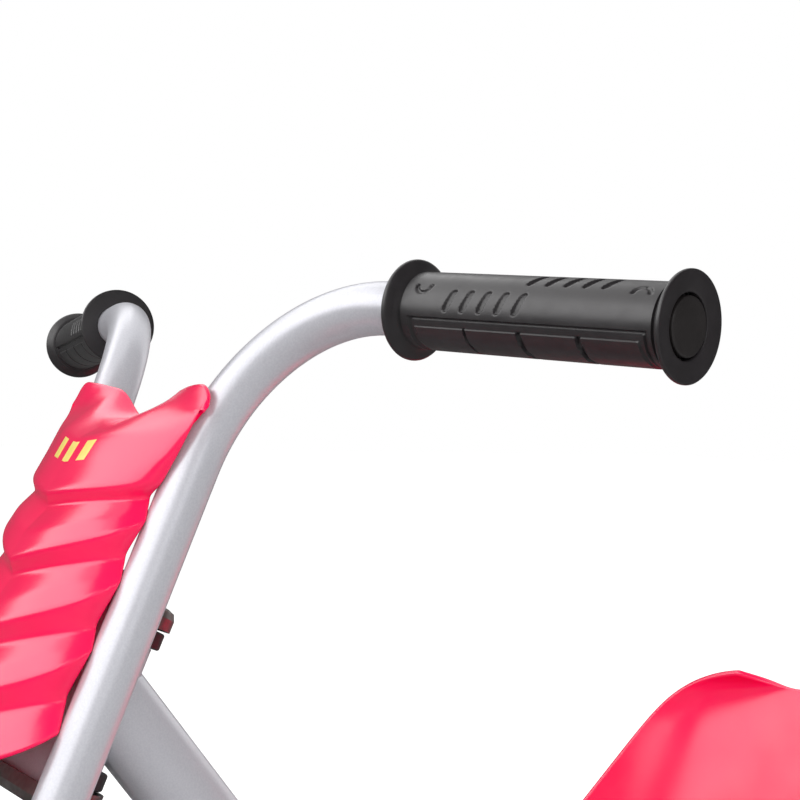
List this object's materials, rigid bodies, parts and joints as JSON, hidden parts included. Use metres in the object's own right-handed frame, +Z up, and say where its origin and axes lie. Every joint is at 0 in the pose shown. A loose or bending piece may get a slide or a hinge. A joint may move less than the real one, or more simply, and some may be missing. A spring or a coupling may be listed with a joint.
{
  "type": "drift trike",
  "caption": "Child's low tricycle with an upright twin-tube fork and cowl, a pedalled front wheel, a sliding bucket seat and raked swivelling rear casters.",
  "frame": {"origin": "on the ground under the middle of the trike's length and width", "axes": "+Z up, -Y forwards, +X to the rider's left"},
  "size_m": [0.5478, 0.775, 0.5331],
  "materials": {
    "silver_paint": "bright silver paint",
    "pink_plastic": "gloss hot pink",
    "grip_rubber": "satin charcoal",
    "tyre_rubber": "matt black",
    "black_plastic": "satin black",
    "zinc_steel": "bright zinc plate",
    "chrome_steel": "chrome plate"
  },
  "bodies": {
    "frame": {"head_tube": "silver_paint", "upper_head_bush": "black_plastic", "lower_head_bush": "black_plastic", "spine_tube": "silver_paint", "rear_beam": "silver_paint", "seat_rail": "silver_paint", "caster_socket_left": "silver_paint", "caster_socket_right": "silver_paint", "caster_bush_left": "black_plastic", "caster_bush_right": "black_plastic"},
    "steering": {"fork_tube_left": "silver_paint", "fork_tube_right": "silver_paint", "dropout_left": "silver_paint", "dropout_right": "silver_paint", "axle_bush_left": "black_plastic", "axle_bush_right": "black_plastic", "grip_left": "grip_rubber", "grip_right": "grip_rubber", "bar_plug_left": "black_plastic", "bar_plug_right": "black_plastic", "upper_crown": "zinc_steel", "lower_crown": "zinc_steel", "fork_web_plate": "silver_paint", "front_cowl": "pink_plastic", "cowl_screw_1": "zinc_steel", "cowl_screw_2": "zinc_steel", "kingpin_bolt": "zinc_steel", "kingpin_nut": "zinc_steel"},
    "front_wheel": {"front_tyre": "tyre_rubber", "front_rim": "pink_plastic", "crank_axle": "chrome_steel", "hub_sleeve_left": "black_plastic", "hub_sleeve_right": "black_plastic", "crank_arm_left": "chrome_steel", "crank_arm_right": "chrome_steel", "crank_cap_left": "chrome_steel", "crank_cap_right": "chrome_steel", "pedal_spindle_left": "zinc_steel", "pedal_spindle_right": "zinc_steel"},
    "left_pedal": {"pedal_left": "black_plastic"},
    "right_pedal": {"pedal_right": "black_plastic"},
    "seat": {"seat_mount": "zinc_steel", "seat_shell": "pink_plastic", "seat_bolt_1": "zinc_steel", "seat_bolt_2": "zinc_steel", "clamp_stud_nut": "zinc_steel"},
    "seat_knob": {"seat_clamp_knob": "black_plastic"},
    "left_caster": {"caster_bearing_left": "zinc_steel", "caster_stem_left": "zinc_steel", "caster_fork_left": "zinc_steel", "caster_axle_left": "zinc_steel"},
    "right_caster": {"caster_bearing_right": "zinc_steel", "caster_stem_right": "zinc_steel", "caster_fork_right": "zinc_steel", "caster_axle_right": "zinc_steel"},
    "left_caster_wheel": {"caster_tyre_left": "tyre_rubber", "caster_hub_left": "pink_plastic"},
    "right_caster_wheel": {"caster_tyre_right": "tyre_rubber", "caster_hub_right": "pink_plastic"}
  },
  "joints": [
    {"name": "steering_turn", "type": "hinge", "parent": "frame", "child": "steering", "pos_m": [0, -0.11604, 0.38323], "axis": [0, 0.3843, 0.9232], "range_deg": [-50, 50]},
    {"name": "front_wheel_spin", "type": "hinge", "parent": "steering", "child": "front_wheel", "pos_m": [0, -0.2375, 0.15], "axis": [1, 0, 0], "continuous": true},
    {"name": "left_pedal_spin", "type": "hinge", "parent": "front_wheel", "child": "left_pedal", "pos_m": [0.11577, -0.30959, 0.09953], "axis": [1, 0, 0], "continuous": true},
    {"name": "right_pedal_spin", "type": "hinge", "parent": "front_wheel", "child": "right_pedal", "pos_m": [-0.11577, -0.16541, 0.20047], "axis": [1, 0, 0], "continuous": true},
    {"name": "seat_slide", "type": "slide", "parent": "frame", "child": "seat", "axis": [0, -1, 0], "range_m": [0, 0.03]},
    {"name": "seat_knob_turn", "type": "hinge", "parent": "seat", "child": "seat_knob", "pos_m": [0.02, 0.1985, 0.13227], "axis": [1, 0, 0], "range_deg": [0, 360]},
    {"name": "left_caster_swivel", "type": "hinge", "parent": "frame", "child": "left_caster", "pos_m": [0.19, 0.31625, 0.033], "axis": [0, -0.5, 0.866], "continuous": true},
    {"name": "right_caster_swivel", "type": "hinge", "parent": "frame", "child": "right_caster", "pos_m": [-0.19, 0.31625, 0.033], "axis": [0, -0.5, 0.866], "continuous": true},
    {"name": "left_caster_wheel_spin", "type": "hinge", "parent": "left_caster", "child": "left_caster_wheel", "pos_m": [0.19, 0.3405, 0.047], "axis": [1, 0, 0], "continuous": true},
    {"name": "right_caster_wheel_spin", "type": "hinge", "parent": "right_caster", "child": "right_caster_wheel", "pos_m": [-0.19, 0.3405, 0.047], "axis": [1, 0, 0], "continuous": true}
  ]
}
